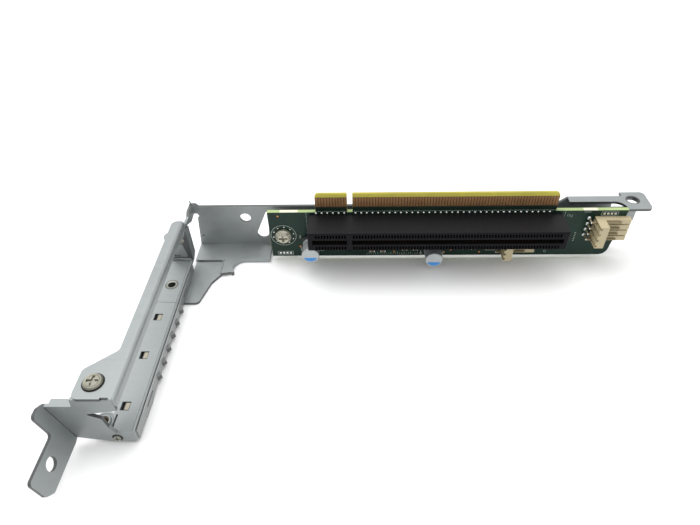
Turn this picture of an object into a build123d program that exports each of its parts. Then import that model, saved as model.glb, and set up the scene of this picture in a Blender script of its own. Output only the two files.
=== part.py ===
from build123d import *
import os
from math import cos, radians, sin, tan

# Frame: the origin is the middle of the slot's key rib, on the board's front face.
# +X runs along the board, -Y points out of the slot, +Z points at the card edge.
# All lengths are in millimetres.

# Card edge
contact_pitch = 1.0
contacts_before_key = 11
contacts_after_key = 71
first_contact = 1.5
key_width = 1.9
tongue_end_margin = 0.65
tongue_top = 12.3
tongue_corner = 0.9
bevel_height = 1.3
bevel_depth = 0.35
finger_width = 0.7
finger_length = 3.7
finger_thickness = 0.05
finger_top_gap = 0.1

# Board
board_thickness = 1.57
board_left = -29.5
board_overhang = 23.0
board_slant = 2.8
board_shoulder = 4.7
board_bottom = -15.8
board_corner = 3.0
board_hole_radius = 1.6
board_screw_x = -24.5
board_screw_z = -5.8

# Slot
slot_width = 7.5
slot_height = 11.25
slot_end_margin = 3.0
slot_mouth = 1.9
slot_mouth_depth = 9.2
slot_edge_chamfer = 0.4
pocket_width = 0.6
pocket_inner = 1.75
pocket_outer = 3.2
pocket_depth = 2.4
rib_clearance = 0.1
blade_width = 0.5
blade_thickness = 0.28
blade_top_gap = 1.4
blade_bulge_setback = 1.8
tail_pitch = 2.0
tail_radius = 0.4
tail_height = 0.35
tail_gap = 0.1

# Capacitors
can_radius = 3.15
can_top = 7.7
can_edge = 0.45
cap_base_size = 6.6
cap_base_height = 0.95
cap_base_chamfer = 1.2
cap_lead_width = 0.9
cap_lead_length = 0.6
cap_lead_height = 0.25
cap_places = {"left": (-14.4, -9.2), "right": (30.2, -11.6)}

# Pin headers
header_block_length = 3.1
header_block_rise = 6.7
header_tongue_length = 9.0
header_tongue_rise = 2.2
header_end_margin = 0.85
header_channel_width = 0.9
header_channel_depth = 0.7
header_slit = 0.45
header_pin_size = 0.6
header_pin_rise = 2.7
header_pin_setback = 1.8
header_pin_tail = 1.0
header_pin_hole_radius = 0.55
header_pin_reach = 5.5
power_header_gap = 11.8
power_header_top = 2.1
power_header_pitch = 2.5
fan_header_inset = 19.4
fan_header_top = -4.6
fan_header_pitch = 2.15
header_ways = 4

# Small parts on the board
chip_size = (1.6, 0.8, 0.5)
chip_places = [(-9.0, -11.9), (8.0, -13.4), (12.0, -13.4), (20.0, -12.6), (24.0, -12.6),
               (41.0, -12.4), (45.5, -12.4)]
chip_right_levels = (-12.0, -8.0)
lower_pads = (-24.5, -14.2)
upper_pads_gap = 16.7
upper_pads_z = 3.2
pad_count = 4
pad_pitch = 1.27
pad_size = 0.75
pad_thickness = 0.05

# Main bracket, one folded sheet
sheet = 1.0
plate_front = 8.0
plate_left = -57.3
plate_foot_left = -58.8
plate_overhang = 30.3
plate_top = 1.6
plate_bottom = -16.8
plate_slant_start = -6.0
plate_slant_length = 12.8
plate_rise = 3.5
bend_radius = 0.9
vent_hole = (-39.5, -3.8, 2.05)
tear_hole = (-33.7, -11.3, 2.2)
tear_tip = (-31.2, -1.5, 0.5)
pin_hole = (-57.1, -11.9, 0.45)
corner_relief = (-57.9, -2.7, 1.05)
tab_relief_level = -0.4
clinch_hole_radius = 2.1

# Far tab and its flange
tab_top = 4.3
flange_front = 5.6
tab_overhang = 31.9
tab_width = 8.6
tab_curve = 3.8
tab_relief_setback = 2.9
flange_length = 15.5
tab_front = 1.0
tab_back = 11.3
tab_hole_inset = (3.2, 6.5, 2.05)
tab_corner = 1.7
tab_collar = 0.6
tab_collar_height = 0.5

# Gusset, the floor flange of the main bracket
gusset_top = -16.4
gusset_right = -30.7
gusset_front = -1.2
gusset_step_x = -47.9
gusset_step_y = -1.3
gusset_drop = 0.6
gusset_far_front = -23.2
gusset_left = -65.4
gusset_back_under = -6.5
lip_depth = 1.6
gusset_curve_x = -40.2
gusset_curve_middle = (-43.4, -3.3)
gusset_nose = (-43.2, -7.9)
gusset_nose_y = -8.8
gusset_waist_x = -50.6
gusset_waist_y = -12.9
gusset_toe_x = -53.3
gusset_toe_radius = 1.6

# Top rail of the card window
rail_top = 4.0
rail_right = -58.5
rail_left = -62.4
rail_front = -76.9
rail_back = -3.6
rail_lip_bottom = 1.0
rail_bump = (-61.0, -11.8, 2.2)
rail_tab_left = -70.3
strap_top = 2.6
strap_bottom = -1.6
strap_peak_y = 3.8
strap_dip = 1.4
strap_fall = 0.4
rail_shoulder = 1.6
rail_tab_start = -61.0
rail_tab_slope = 6.6
rail_tab_corner = 2.0
rail_notch_x = -61.4
rail_notch_length = 2.2

# Window frame and window face, the second and third folded sheet
frame_right = -58.4
frame_left = -66.2
frame_floor = -13.0
frame_front = -76.5
frame_back = -3.5
skirt_bottom = -17.0
skirt_back = -6.5
wing_back = -0.6
wing_top = 0.8
wing_tip = -0.4
wing_foot = 1.5
wall_shoulder = 6.0
wall_dot = (-60.0, -11.9, 0.35)
wall_crescent = (-63.9, -11.3, 2.4, 0.7)
opening_tip_x = -68.9
opening_tip_z = -3.6
opening_knee = (-65.2, -5.8)
opening_hip = (-64.6, -10.1)
opening_foot_x = -63.3
ear_bottom_z = -14.9
opening_corner = 1.2
face_left = -78.64
face_top = 0.0
arm_bottom = -1.9
arm_right = -59.9
ledge_back = -66.6
face_top_lip = 1.5
face_lip_middle = -74.6
face_lip_length = 6.0
square_hole = (2.6, 2.9)
square_hole_x = -63.6
square_hole_y = (-67.7, -49.4, -33.5)
floor_slit = (-65.1, -72.5, 0.5, 4.2)
lug_hole = (-68.0, -72.8, 1.35)
lug_radius = 3.3
clinch_nut_place = (-62.9, -18.2)
clinch_nut_radius = 2.1
clinch_nut_foot = 2.7
clinch_nut_bore = 1.3

# Ear
ear_lean = 13.8
ear_neck = 4.2
ear_shoulder = 1.3
ear_strap_inner = 6.9
ear_strap_outer = 15.8
ear_reach = 17.8
ear_tip = 6.7
ear_slope = 2.2
ear_corner = 1.2
ear_hole = (10.3, 10.7, 1.95)

# Contact strip with spring fingers
strip_thickness = 0.3
strip_back = -12.0
strip_front = -75.4
strip_top_gap = 0.35
strip_bottom_gap = 0.25
finger_bump_reach = 1.0
finger_bump_length = 2.6
finger_bump_height = 1.7
finger_bump_first = -27.9
finger_bump_pitch = 5.45
finger_bump_count = 6
strip_slot_height = 0.5
strip_slots = ((-20.2, 4.6), (-63.8, 5.6))
strip_bulge = (-63.8, 9.0, 0.9)
clip_width = 2.0
clip_hook_x = -63.0
clip_hook_top = -13.2

# Fasteners
fit_clearance = 0.03
screw_head_radius = 2.95
screw_head_height = 2.1
screw_shank_radius = 1.45
screw_shank_length = 7.2
recess_width = 0.75
recess_span = 3.2
recess_depth = 1.1
standoff_radius = 2.75
standoff_bore = 1.5
tab_screw_place = (-65.8, -71.8)
tab_screw_radius = 3.3
tab_screw_height = 0.9
tab_screw_shank = 1.45
tab_screw_reach = 3.4
rivet_place = (-61.6, -4.2)
rivet_radius = 1.35
rivet_head = 0.7
rivet_head_edge = 0.5
corner_rivet_place = (-63.6, -15.0)
corner_rivet_radius = 0.8
corner_rivet_head = 0.5

contact_places = [-first_contact - contact_pitch * i for i in range(contacts_before_key)]
contact_places += [first_contact + contact_pitch * i for i in range(contacts_after_key)]
tongue_left = min(contact_places) - tongue_end_margin
tongue_right = max(contact_places) + tongue_end_margin
slot_left = min(contact_places) - slot_end_margin
slot_right = max(contact_places) + slot_end_margin
plate_back = plate_front + sheet
board_right_top = slot_right + board_overhang
board_right_bottom = board_right_top - board_slant
power_header_x = slot_right + power_header_gap
fan_header_x = slot_right - fan_header_inset
pad_rows = {"lower": lower_pads, "upper": (slot_right + upper_pads_gap, upper_pads_z)}
plate_right = slot_right + plate_overhang
plate_slant_end_x = plate_right - plate_slant_length
tab_right = slot_right + tab_overhang
tab_left = tab_right - tab_width
chip_places += [(slot_right, level) for level in chip_right_levels]
tab_hole = (tab_left + tab_hole_inset[0], tab_hole_inset[1], tab_hole_inset[2])
tab_relief = (tab_left - tab_relief_setback, tab_relief_level)
plate_rise_end = tab_left - tab_curve - flange_length
plate_rise_start = plate_rise_end - plate_rise
face_left_bottom = face_left - ear_bottom_z * tan(radians(ear_lean))
gusset_under = gusset_top - sheet
floor_under = frame_floor - sheet
face_back = frame_front + sheet
header_height_power = power_header_pitch * (header_ways - 1) + 2 * header_end_margin
header_height_fan = fan_header_pitch * (header_ways - 1) + 2 * header_end_margin

os.makedirs("parts", exist_ok=True)


def header_pin_levels(top, pitch):
    """Heights of a header's pins, from its top down."""
    return [top - header_end_margin - pitch * i for i in range(header_ways)]


# Riser board
with BuildPart() as riser_board:
    with BuildSketch(Plane.XZ):
        with BuildLine():
            Polyline(
                (board_left, board_bottom),
                (board_left, board_shoulder),
                (tongue_left, board_shoulder),
                (tongue_left, tongue_top),
                (tongue_right, tongue_top),
                (tongue_right, board_shoulder),
                (board_right_top, board_shoulder),
                (board_right_bottom, board_bottom),
                close=True,
            )
        make_face()
        fillet(vertices().sort_by(Axis.X)[-2:].sort_by(Axis.Y)[0], board_corner)
        chamfer(vertices().group_by(Axis.Y)[-1], tongue_corner)
        with Locations((0, (tongue_top + board_shoulder) / 2)):
            Rectangle(key_width, tongue_top - board_shoulder, mode=Mode.SUBTRACT)
        with Locations((board_screw_x, board_screw_z)):
            Circle(board_hole_radius, mode=Mode.SUBTRACT)
        for left, top, pitch in (
            (power_header_x, power_header_top, power_header_pitch),
            (fan_header_x, fan_header_top, fan_header_pitch),
        ):
            levels = header_pin_levels(top, pitch)
            with Locations(*[(left - header_pin_setback, z) for z in levels]):
                RegularPolygon(header_pin_hole_radius, 8, mode=Mode.SUBTRACT)
    extrude(amount=-board_thickness)
    with BuildSketch(Plane.YZ.offset(tongue_left - 1)):
        with BuildLine():
            Polyline((0, tongue_top), (0, tongue_top - bevel_height), (bevel_depth, tongue_top), close=True)
        make_face()
        with BuildLine():
            Polyline(
                (board_thickness, tongue_top),
                (board_thickness, tongue_top - bevel_height),
                (board_thickness - bevel_depth, tongue_top),
                close=True,
            )
        make_face()
    extrude(amount=tongue_right - tongue_left + 2, mode=Mode.SUBTRACT)

# Gold contact fingers on both faces of the tongue
finger_z = tongue_top - bevel_height - finger_top_gap - finger_length / 2
with BuildPart() as edge_fingers_front:
    with Locations(*[(x, -finger_thickness / 2, finger_z) for x in contact_places]):
        Box(finger_width, finger_thickness, finger_length)

with BuildPart() as edge_fingers_back:
    back_y = board_thickness + finger_thickness / 2
    with Locations(*[(x, back_y, finger_z) for x in contact_places]):
        Box(finger_width, finger_thickness, finger_length)

# Slot housing with its mouth, key rib and contact pockets
mouth_end = max(contact_places) + first_contact - rib_clearance
rib_half = key_width / 2 - rib_clearance
with BuildPart() as slot_housing:
    with BuildSketch(Plane.XZ):
        with Locations(((slot_left + slot_right) / 2, 0)):
            Rectangle(slot_right - slot_left, slot_width)
    extrude(amount=slot_height)
    chamfer(faces().sort_by(Axis.Y)[0].edges(), slot_edge_chamfer)
    with BuildSketch(Plane.XZ.offset(slot_height)):
        before_end = min(contact_places) - first_contact + rib_clearance
        with Locations(((before_end - rib_half) / 2, 0)):
            Rectangle(-rib_half - before_end, slot_mouth)
        with Locations(((mouth_end + rib_half) / 2, 0)):
            Rectangle(mouth_end - rib_half, slot_mouth)
    extrude(amount=-slot_mouth_depth, mode=Mode.SUBTRACT)
    with BuildSketch(Plane.XZ.offset(slot_height)):
        pocket_middle = (pocket_inner + pocket_outer) / 2
        rows = [(x, side * pocket_middle) for x in contact_places for side in (-1, 1)]
        with Locations(*rows):
            Rectangle(pocket_width, pocket_outer - pocket_inner)
    extrude(amount=-pocket_depth, mode=Mode.SUBTRACT)

# Contact blades along the two walls of the slot's mouth, each bulging toward the card
blade_back = slot_mouth_depth - slot_height
blade_front = blade_top_gap - slot_height
blade_bulge = blade_front + blade_bulge_setback
with BuildPart() as blade_upper:
    with BuildSketch(Plane.YZ.offset(-blade_width / 2)):
        with BuildLine():
            Polyline(
                (blade_back, slot_mouth / 2),
                (blade_front, slot_mouth / 2),
                (blade_bulge, slot_mouth / 2 - blade_thickness),
                close=True,
            )
        make_face()
    extrude(amount=blade_width)

with BuildPart() as slot_contacts_upper:
    with Locations(*[(x, 0, 0) for x in contact_places]):
        add(blade_upper.part)

with BuildPart() as slot_contacts_lower:
    with Locations(*[(x, 0, 0) for x in contact_places]):
        add(mirror(blade_upper.part, about=Plane.XY, mode=Mode.PRIVATE))

# Soldered tails beside the slot
with BuildPart() as slot_tails:
    tail_z = slot_width / 2 + tail_gap + tail_radius
    with BuildSketch(Plane.XZ):
        places = [(x - contact_pitch / 2, tail_z) for x in contact_places[::2]]
        with Locations(*places):
            Rectangle(2 * tail_radius, 2 * tail_radius)
    extrude(amount=tail_height)

# Two surface-mounted can capacitors, each with base, can and leads
capacitor_parts = {}
for side, (cap_x, cap_z) in cap_places.items():
    with BuildPart() as cap_base:
        with BuildSketch(Plane.XZ.offset(cap_lead_height)):
            with Locations((cap_x, cap_z)):
                Rectangle(cap_base_size, cap_base_size)
            chamfer(vertices().group_by(Axis.Y)[-1], cap_base_chamfer)
        extrude(amount=cap_base_height - cap_lead_height)
    with BuildPart() as cap_can:
        with BuildSketch(Plane.XZ.offset(cap_base_height)):
            with Locations((cap_x, cap_z)):
                Circle(can_radius)
        extrude(amount=can_top - cap_base_height)
        chamfer(faces().sort_by(Axis.Y)[0].edges(), can_edge)
    with BuildPart() as cap_leads:
        with BuildSketch(Plane.XZ):
            reach = cap_base_size + 2 * cap_lead_length
            with Locations((cap_x, cap_z)):
                Rectangle(cap_lead_width, reach)
                Rectangle(cap_lead_width, cap_base_size / 3, mode=Mode.SUBTRACT)
        extrude(amount=cap_lead_height)
    capacitor_parts["capacitor_base_" + side] = cap_base
    capacitor_parts["capacitor_can_" + side] = cap_can
    capacitor_parts["capacitor_leads_" + side] = cap_leads

# Right-angle pin headers: a block with pin channels and a slotted tongue, and bent pins
header_parts = {}
for name, left, top, pitch, height in (
    ("power_header", power_header_x, power_header_top, power_header_pitch, header_height_power),
    ("fan_header", fan_header_x, fan_header_top, fan_header_pitch, header_height_fan),
):
    middle = top - height / 2
    levels = header_pin_levels(top, pitch)
    gaps = [(levels[i] + levels[i + 1]) / 2 for i in range(header_ways - 1)]
    block_right = left + header_block_length
    with BuildPart() as housing:
        with BuildSketch(Plane.XZ):
            with Locations((left + header_block_length / 2, middle)):
                Rectangle(header_block_length, height)
        extrude(amount=header_block_rise)
        with BuildSketch(Plane.XZ):
            with Locations((block_right + header_tongue_length / 2, middle)):
                Rectangle(header_tongue_length, height)
            slit_x = block_right + header_tongue_length / 2 + header_slit
            with Locations(*[(slit_x, z) for z in gaps]):
                Rectangle(header_tongue_length, header_slit, mode=Mode.SUBTRACT)
        extrude(amount=header_tongue_rise)
        with BuildSketch(Plane.XZ.offset(header_block_rise)):
            channel_x = left + header_channel_depth / 2
            with Locations(*[(channel_x, z) for z in levels]):
                Rectangle(header_channel_depth, header_channel_width)
        extrude(amount=-header_block_rise, mode=Mode.SUBTRACT)
        with BuildSketch(Plane.YZ.offset(left)):
            with Locations(*[(-header_pin_rise, z) for z in levels]):
                Rectangle(header_pin_size + 2 * fit_clearance, header_pin_size + 2 * fit_clearance)
        extrude(amount=header_block_length, mode=Mode.SUBTRACT)
    with BuildPart() as pins:
        root = left - header_pin_setback
        half = header_pin_size / 2
        tip = block_right + header_pin_reach
        for z in levels:
            with BuildSketch(Plane.XY.offset(z - half)):
                with BuildLine():
                    Polyline(
                        (root - half, board_thickness + header_pin_tail),
                        (root - half, -header_pin_rise),
                        (root, -header_pin_rise - half),
                        (tip, -header_pin_rise - half),
                        (tip, -header_pin_rise + half),
                        (root + half, -header_pin_rise + half),
                        (root + half, board_thickness + header_pin_tail),
                        close=True,
                    )
                make_face()
            extrude(amount=header_pin_size)
    header_parts[name + "_housing"] = housing
    header_parts[name + "_pins"] = pins

# Chip resistors and capacitors on the board's front
with BuildPart() as chip_parts:
    with Locations(*[(x, -chip_size[2] / 2, z) for x, z in chip_places]):
        Box(chip_size[0], chip_size[2], chip_size[1])

# Two rows of bare test pads
with BuildPart() as test_pads:
    for row_x, row_z in pad_rows.values():
        with Locations((row_x, -pad_thickness / 2, row_z)):
            with GridLocations(pad_pitch, pad_pitch, pad_count, 1):
                Box(pad_size, pad_thickness, pad_size)

# Main bracket: plate, top flange with tab, gusset, and the card window's top rail
with BuildPart() as main_bracket:
    with BuildSketch(Plane.XZ.offset(-plate_front)):
        with BuildLine():
            Polyline(
                (rail_right - sheet, strap_bottom),
                (rail_right - sheet, strap_top),
                (plate_left, strap_top),
                (plate_left + sheet, plate_top),
                (plate_rise_start, plate_top),
                (plate_rise_end, tab_top),
                (tab_relief[0], tab_top),
                tab_relief,
                (plate_right, tab_relief[1]),
                (plate_right, plate_slant_start),
                (plate_slant_end_x, plate_bottom),
                (gusset_right, plate_bottom),
                (gusset_right, gusset_under),
                (plate_foot_left, gusset_under),
                (plate_left, strap_bottom),
                close=True,
            )
        make_face()
        fillet(vertices().group_by(Axis.X)[-1], bend_radius)
        with Locations(vent_hole[:2]):
            Circle(vent_hole[2], mode=Mode.SUBTRACT)
        with Locations(pin_hole[:2]):
            RegularPolygon(pin_hole[2], 8, mode=Mode.SUBTRACT)
        with Locations(corner_relief[:2]):
            Circle(corner_relief[2], mode=Mode.SUBTRACT)
        with Locations((board_screw_x, board_screw_z)):
            Circle(clinch_hole_radius, mode=Mode.SUBTRACT)
    extrude(amount=-sheet)
    with BuildSketch(Plane.XZ.offset(-plate_front)):
        with Locations(tear_hole[:2]):
            Circle(tear_hole[2])
        with Locations(tear_tip[:2]):
            Circle(tear_tip[2])
        make_hull()
    extrude(amount=-sheet, mode=Mode.SUBTRACT)
    # strap round the corner to the lip under the top rail
    with BuildSketch(Plane.YZ.offset(rail_right - sheet)):
        with BuildLine():
            Polyline(
                (plate_back, strap_bottom),
                (plate_back, strap_top),
                (strap_peak_y, strap_top),
                (strap_peak_y - rail_shoulder, strap_dip),
                (rail_back + rail_shoulder, strap_dip),
                (rail_back, strap_top),
                (rail_back, rail_top - sheet / 2),
                (rail_front, rail_top - sheet / 2),
                (rail_front, rail_lip_bottom),
                (rail_back + sheet / 2, rail_lip_bottom),
                (strap_peak_y, strap_bottom - strap_fall),
                close=True,
            )
        make_face()
    extrude(amount=sheet)
    # top rail with its screw tab
    with BuildSketch(Plane.XY.offset(rail_top - sheet)):
        with BuildLine():
            Polyline(
                (rail_right, rail_back),
                (rail_left, rail_back),
                (rail_left, rail_tab_start),
                (rail_tab_left, rail_tab_start - rail_tab_slope),
                (rail_tab_left, rail_front),
                (rail_right, rail_front),
                close=True,
            )
        make_face()
        fillet(vertices().group_by(Axis.X)[0] + vertices().group_by(Axis.X)[1], rail_tab_corner)
        with Locations(rail_bump[:2]):
            Circle(rail_bump[2])
        with Locations((rail_notch_x, rail_front)):
            Rectangle(rail_notch_length, sheet, mode=Mode.SUBTRACT)
        with Locations(tab_screw_place):
            Circle(tab_screw_shank + fit_clearance, mode=Mode.SUBTRACT)
    extrude(amount=sheet)
    # gusset floor behind the step, bent forward from the plate's bottom
    with BuildSketch(Plane.XY.offset(gusset_under)):
        with BuildLine():
            Polyline(
                (gusset_step_x, gusset_nose_y),
                (gusset_step_x, gusset_step_y),
                (plate_foot_left, gusset_step_y),
                (plate_foot_left, plate_back),
                (gusset_right, plate_back),
                (gusset_right, gusset_front),
                (gusset_curve_x, gusset_front),
            )
            ThreePointArc((gusset_curve_x, gusset_front), gusset_curve_middle, gusset_nose)
            Line(gusset_nose, (gusset_step_x, gusset_nose_y))
        make_face()
    extrude(amount=sheet)
    # the dropped part of the gusset, which runs on under the window frame
    with BuildSketch(Plane.XY.offset(gusset_under - gusset_drop)):
        with BuildLine():
            Polyline(
                (rail_right, gusset_step_y),
                (gusset_step_x, gusset_step_y),
                (gusset_step_x, gusset_nose_y),
                (gusset_waist_x, gusset_waist_y),
                (gusset_toe_x, gusset_far_front),
                (gusset_left, gusset_far_front),
                (gusset_left, gusset_back_under),
                (rail_right, gusset_back_under),
                close=True,
            )
        make_face()
        fillet(vertices().group_by(Axis.Y)[0], gusset_toe_radius)
    extrude(amount=sheet)
    # rolled lip along the gusset's front edge
    with BuildSketch(Plane.XY.offset(gusset_top - lip_depth)):
        with BuildLine():
            Line((gusset_right, gusset_front), (gusset_curve_x, gusset_front))
            ThreePointArc((gusset_curve_x, gusset_front), gusset_curve_middle, gusset_nose)
            offset(amount=sheet, side=Side.RIGHT)
        make_face()
    extrude(amount=lip_depth)
    # top flange and the round-cornered far tab
    with BuildSketch(Plane.XY.offset(tab_top - sheet)):
        with BuildLine():
            Polyline(
                (tab_left, tab_front),
                (tab_right, tab_front),
                (tab_right, tab_back),
                (tab_left, tab_back),
                (tab_left, plate_back),
                (plate_rise_end, plate_back),
                (plate_rise_end, flange_front),
                (tab_left - tab_curve, flange_front),
            )
            curve_end = (tab_left, flange_front - tab_curve)
            RadiusArc((tab_left - tab_curve, flange_front), curve_end, tab_curve)
            Line(curve_end, (tab_left, tab_front))
        make_face()
        fillet(vertices().group_by(Axis.X)[-1], tab_corner)
    extrude(amount=sheet)
    with BuildSketch(Plane.XY.offset(tab_top - sheet - tab_collar_height)):
        with Locations(tab_hole[:2]):
            Circle(tab_hole[2] + tab_collar)
    extrude(amount=tab_collar_height)
    with BuildSketch(Plane.XY.offset(tab_top)):
        with Locations(tab_hole[:2]):
            Circle(tab_hole[2])
    extrude(amount=-sheet - tab_collar_height, mode=Mode.SUBTRACT)
    # bends of the sheet
    corner_edges = edges().filter_by(Axis.Z).filter_by(lambda e: abs(e.center().X - rail_right + sheet) < 0.01)
    fillet(corner_edges.filter_by(lambda e: abs(e.center().Y - plate_back) < 0.01), bend_radius)
    rail_edges = edges().filter_by(Axis.Y).filter_by(lambda e: abs(e.center().X - rail_right) < 0.01)
    fillet(rail_edges.filter_by(lambda e: abs(e.center().Z - rail_top) < 0.01), bend_radius)
    back_edges = edges().filter_by(Axis.X).filter_by(lambda e: abs(e.center().Y - plate_back) < 0.01)
    fillet(back_edges.filter_by(lambda e: abs(e.center().Z - gusset_under) < 0.01), bend_radius)

# Window frame: floor with a front flange and a skirt, far wall and wing
with BuildPart() as window_frame:
    # floor with its round lug
    with BuildSketch(Plane.XY.offset(floor_under)):
        with Locations(((frame_left + frame_right) / 2, (face_back + frame_back) / 2)):
            Rectangle(frame_right - frame_left, frame_back - face_back)
        with Locations(lug_hole[:2]):
            Circle(lug_radius)
        with Locations((lug_hole[0], (lug_hole[1] + face_back) / 2)):
            Rectangle(2 * lug_radius, lug_hole[1] - face_back)
        with Locations((lug_hole[0], face_back - lug_radius / 2)):
            Rectangle(2 * lug_radius, lug_radius, mode=Mode.SUBTRACT)
        with Locations(lug_hole[:2]):
            Circle(lug_hole[2], mode=Mode.SUBTRACT)
        with Locations(floor_slit[:2]):
            Rectangle(floor_slit[2], floor_slit[3], mode=Mode.SUBTRACT)
        with Locations(*[(square_hole_x, y) for y in square_hole_y]):
            Rectangle(square_hole[0], square_hole[1], mode=Mode.SUBTRACT)
        with Locations(clinch_nut_place):
            Circle(clinch_nut_radius, mode=Mode.SUBTRACT)
    extrude(amount=sheet)
    # skirt below the floor's inner edge
    with BuildSketch(Plane.YZ.offset(frame_right - sheet)):
        with BuildLine():
            Polyline(
                (face_back, frame_floor - sheet / 2),
                (skirt_back, frame_floor - sheet / 2),
                (skirt_back, skirt_bottom),
                (face_back, skirt_bottom),
                close=True,
            )
        make_face()
    extrude(amount=sheet)
    # flange below the floor's front edge, which the window face is riveted to
    with BuildSketch(Plane.XZ.offset(-face_back)):
        with BuildLine():
            Polyline(
                (frame_left, frame_floor - sheet / 2),
                (frame_right - sheet / 2, frame_floor - sheet / 2),
                (frame_right - sheet / 2, skirt_bottom),
                (frame_left, skirt_bottom),
                close=True,
            )
        make_face()
        with Locations(corner_rivet_place):
            Circle(corner_rivet_radius, mode=Mode.SUBTRACT)
    extrude(amount=-sheet)
    skirt_edges = edges().filter_by(Axis.Y).filter_by(lambda e: abs(e.center().X - frame_right) < 0.01)
    fillet(skirt_edges.filter_by(lambda e: abs(e.center().Z - frame_floor) < 0.01), bend_radius)
    # far wall, up to the underside of the top rail
    with BuildSketch(Plane.XZ.offset(-frame_back)):
        with BuildLine():
            Polyline(
                (frame_left, floor_under),
                (frame_left, floor_under + wall_shoulder),
                (rail_left + sheet, rail_top - sheet),
                (rail_right - sheet, rail_top - sheet),
                (rail_right - sheet, rail_lip_bottom),
                (frame_right, rail_lip_bottom),
                (frame_right, floor_under),
                close=True,
            )
        make_face()
        with Locations(rivet_place):
            Circle(rivet_radius, mode=Mode.SUBTRACT)
        with Locations(wall_dot[:2]):
            RegularPolygon(wall_dot[2], 8, mode=Mode.SUBTRACT)
        with Locations(wall_crescent[:2]):
            Rectangle(wall_crescent[2], wall_crescent[3], mode=Mode.SUBTRACT)
    extrude(amount=sheet)
    # wing behind the far wall
    with BuildSketch(Plane.YZ.offset(frame_right - sheet)):
        with BuildLine():
            Polyline(
                (frame_back - sheet, floor_under),
                (frame_back - sheet, wing_top),
                (frame_back, wing_top),
                (wing_back, wing_tip),
                (wing_back, floor_under + wing_foot),
                (frame_back, floor_under),
                close=True,
            )
        make_face()
    extrude(amount=sheet)

# Window face: the sheet across the front, with its arm, ledge and ear
with BuildPart() as window_face:
    # front face, with the arm above the card opening
    with BuildSketch(Plane.XZ.offset(-frame_front)):
        with BuildLine():
            Polyline(
                (face_left_bottom, ear_bottom_z),
                (face_left, face_top),
                (rail_tab_left - sheet, face_top),
                (rail_tab_left - sheet / 2, rail_top - sheet),
                (arm_right, rail_top - sheet),
                (arm_right, arm_bottom),
                (opening_tip_x, opening_tip_z),
                opening_knee,
                opening_hip,
                (opening_foot_x, frame_floor),
                (frame_right, frame_floor),
                (frame_right, skirt_bottom),
                (opening_knee[0], skirt_bottom),
                close=True,
            )
        make_face()
        fillet(vertices().filter_by(lambda v: abs(v.Y - opening_tip_z) < 0.01), opening_corner / 4)
        fillet(vertices().filter_by(lambda v: abs(v.X - opening_knee[0]) < 0.01 and v.Y > frame_floor), opening_corner)
        fillet(vertices().group_by(Axis.X)[-1].sort_by(Axis.Y)[0], opening_corner)
        with Locations(corner_rivet_place):
            Circle(corner_rivet_radius, mode=Mode.SUBTRACT)
    extrude(amount=-sheet)
    # ledge under the rail's tab, and the narrow lip on the face's outer top edge
    with BuildSketch(Plane.XY.offset(rail_top - 2 * sheet)):
        with BuildLine():
            Polyline(
                (rail_tab_left - sheet / 2, frame_front),
                (rail_tab_left + sheet, ledge_back),
                (rail_left, ledge_back),
                (rail_left, frame_front),
                close=True,
            )
        make_face()
        fillet(vertices().group_by(Axis.Y)[-1], opening_corner)
        with Locations(tab_screw_place):
            Circle(tab_screw_shank + fit_clearance, mode=Mode.SUBTRACT)
    extrude(amount=sheet)
    with BuildSketch(Plane.XY.offset(face_top - sheet)):
        with Locations((face_lip_middle, frame_front + (face_top_lip + sheet) / 2)):
            Rectangle(face_lip_length, face_top_lip + sheet)
    extrude(amount=sheet)
    # ear, folded toward -Y along a leaning line
    ear_plane = Plane(
        origin=(face_left, frame_front, face_top),
        x_dir=(0, -1, 0),
        z_dir=(-cos(radians(ear_lean)), 0, -sin(radians(ear_lean))),
    )
    with BuildSketch(ear_plane):
        with BuildLine():
            Polyline(
                (-sheet, 0),
                (ear_shoulder, ear_shoulder),
                (ear_neck, ear_shoulder),
                (ear_neck, -ear_strap_inner),
                (ear_reach, -ear_strap_inner),
                (ear_reach, -ear_strap_inner - ear_tip),
                (ear_reach - ear_slope, -ear_strap_outer),
                (ear_shoulder, -ear_strap_outer),
                (-sheet, ear_bottom_z / cos(radians(ear_lean))),
                close=True,
            )
        make_face()
        fillet(vertices().filter_by(lambda v: v.X > ear_shoulder + 1), ear_corner)
        with Locations((ear_hole[0], -ear_hole[1])):
            Circle(ear_hole[2], mode=Mode.SUBTRACT)
    extrude(amount=sheet)

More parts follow.
